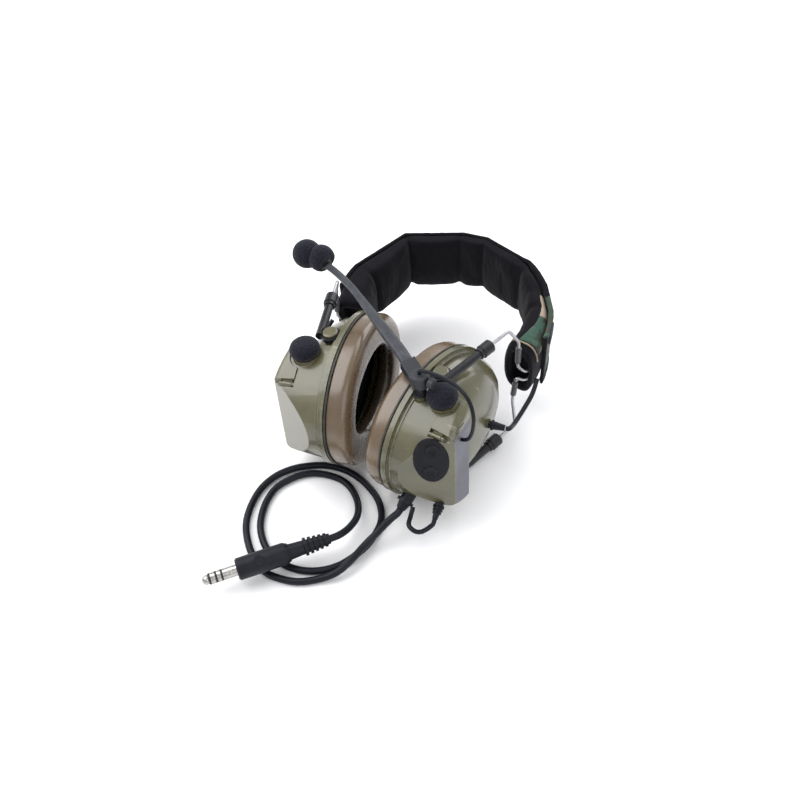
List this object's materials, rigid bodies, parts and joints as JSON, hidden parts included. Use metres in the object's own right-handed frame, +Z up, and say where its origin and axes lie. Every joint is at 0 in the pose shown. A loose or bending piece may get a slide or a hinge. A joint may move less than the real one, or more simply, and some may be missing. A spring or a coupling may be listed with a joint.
{
  "type": "aviation headset",
  "caption": "Two-cup communication headset lying on its back, with a wire-sprung padded headband, a boom microphone, ambient microphones and a looped down-lead that ends in a ringed plug.",
  "frame": {"origin": "Bottom centre of the bounding box of the headset without its down-lead and plug, on the surface that it lies on", "axes": "+Z up from the surface, towards the front of the headset; +Y from the lower ends of the cups to the crown of the headband; +X from the left cup to the right cup"},
  "size_m": [0.1696, 0.306, 0.1268],
  "materials": {
    "olive_plastic": "satin, worn at the edges",
    "black_plastic": "satin",
    "grey_plastic": "satin",
    "black_rubber": "satin",
    "cushion_skin": "glossy",
    "open_foam": "matte, fine open cells",
    "liner_cloth": "matte",
    "camouflage_cloth": "matte woodland camouflage",
    "binding_tape": "matte",
    "spring_steel": "polished wire",
    "plug_metal": "polished",
    "board": "satin",
    "cell_jacket": "satin",
    "contact_brass": "satin"
  },
  "bodies": {
    "headband": {"front_spring_wire": "spring_steel", "back_spring_wire": "spring_steel", "wire_sleeves": "black_plastic", "headband_liner": "liner_cloth", "headband_cover": "camouflage_cloth", "cover_binding": "binding_tape", "left_link_cable": "black_rubber", "right_link_cable": "black_rubber"},
    "left_stirrup": {"left_front_leg": "black_plastic", "left_back_leg": "black_plastic", "left_leg_collars": "black_plastic"},
    "right_stirrup": {"right_front_leg": "black_plastic", "right_back_leg": "black_plastic", "right_leg_collars": "black_plastic"},
    "left_cup": {"left_shell": "olive_plastic", "left_plate": "black_plastic", "left_cushion": "cushion_skin", "left_foam_liner": "open_foam", "left_speaker": "black_plastic", "left_circuit_board": "board", "left_battery": "cell_jacket", "left_battery_contact": "contact_brass", "left_mic_foam": "open_foam", "left_mic_capsule": "black_plastic", "left_pivot_caps": "olive_plastic", "left_link_relief": "black_rubber", "left_lid_pin": "spring_steel"},
    "right_cup": {"right_shell": "olive_plastic", "right_plate": "black_plastic", "right_cushion": "cushion_skin", "right_foam_liner": "open_foam", "right_speaker": "black_plastic", "right_circuit_board": "board", "right_battery": "cell_jacket", "right_battery_contact": "contact_brass", "right_mic_foam": "open_foam", "right_mic_capsule": "black_plastic", "right_pivot_caps": "olive_plastic", "right_link_relief": "black_rubber", "right_lid_pin": "spring_steel", "button_pad": "black_rubber", "boom_bracket": "black_plastic", "boom_cable": "black_rubber", "cable_gland": "black_rubber", "jumper_cable": "black_rubber", "jumper_relief": "black_rubber", "down_lead": "black_rubber", "plug_boot": "black_rubber", "plug_body": "black_plastic", "plug_pin": "plug_metal", "plug_insulators": "black_plastic"},
    "left_lid": {"left_battery_lid": "olive_plastic"},
    "right_lid": {"right_battery_lid": "olive_plastic"},
    "upper_button_body": {"upper_button": "black_rubber"},
    "lower_button_body": {"lower_button": "black_rubber"},
    "boom": {"boom_hub": "grey_plastic", "boom_knob": "grey_plastic", "boom_arm": "black_plastic", "boom_mic": "black_plastic", "boom_foam": "open_foam"}
  },
  "joints": [
    {"name": "left_height", "type": "slide", "parent": "headband", "child": "left_stirrup", "axis": [-0.2399, 0.9703, -0.0316], "range_m": [0, 0.012], "deforming": ["left_link_cable"]},
    {"name": "left_tilt", "type": "hinge", "parent": "left_stirrup", "child": "left_cup", "pos_m": [-0.03607, -0.04027, 0.04923], "axis": [-0.1305, 0, 0.9914], "range_deg": [-10, 0]},
    {"name": "left_lid_hinge", "type": "hinge", "parent": "left_cup", "child": "left_lid", "pos_m": [-0.05535, -0.07678, 0.07594], "axis": [0.9877, 0.0872, 0.13], "range_deg": [0, 90]},
    {"name": "right_height", "type": "slide", "parent": "headband", "child": "right_stirrup", "axis": [0.4033, 0.9135, 0.0531], "range_m": [0, 0.012], "deforming": ["right_link_cable"]},
    {"name": "right_tilt", "type": "hinge", "parent": "right_stirrup", "child": "right_cup", "pos_m": [0.04053, -0.04378, 0.04623], "axis": [-0.1305, 0, 0.9914], "range_deg": [0, 12]},
    {"name": "right_lid_hinge", "type": "hinge", "parent": "right_cup", "child": "right_lid", "pos_m": [0.04692, -0.08213, 0.07632], "axis": [0.9652, -0.2284, 0.1271], "range_deg": [0, 90]},
    {"name": "boom_swing", "type": "hinge", "parent": "right_cup", "child": "boom", "pos_m": [0.02874, -0.06205, 0.09511], "axis": [-0.1305, 0, 0.9914], "range_deg": [-30, 30]},
    {"name": "upper_button_press", "type": "slide", "parent": "right_cup", "child": "upper_button_body", "axis": [-0.3559, 0.919, -0.1698], "range_m": [0, 0.0008], "stiffness_N_per_m": 500},
    {"name": "lower_button_press", "type": "slide", "parent": "right_cup", "child": "lower_button_body", "axis": [-0.3559, 0.919, -0.1698], "range_m": [0, 0.0008], "stiffness_N_per_m": 500}
  ]
}
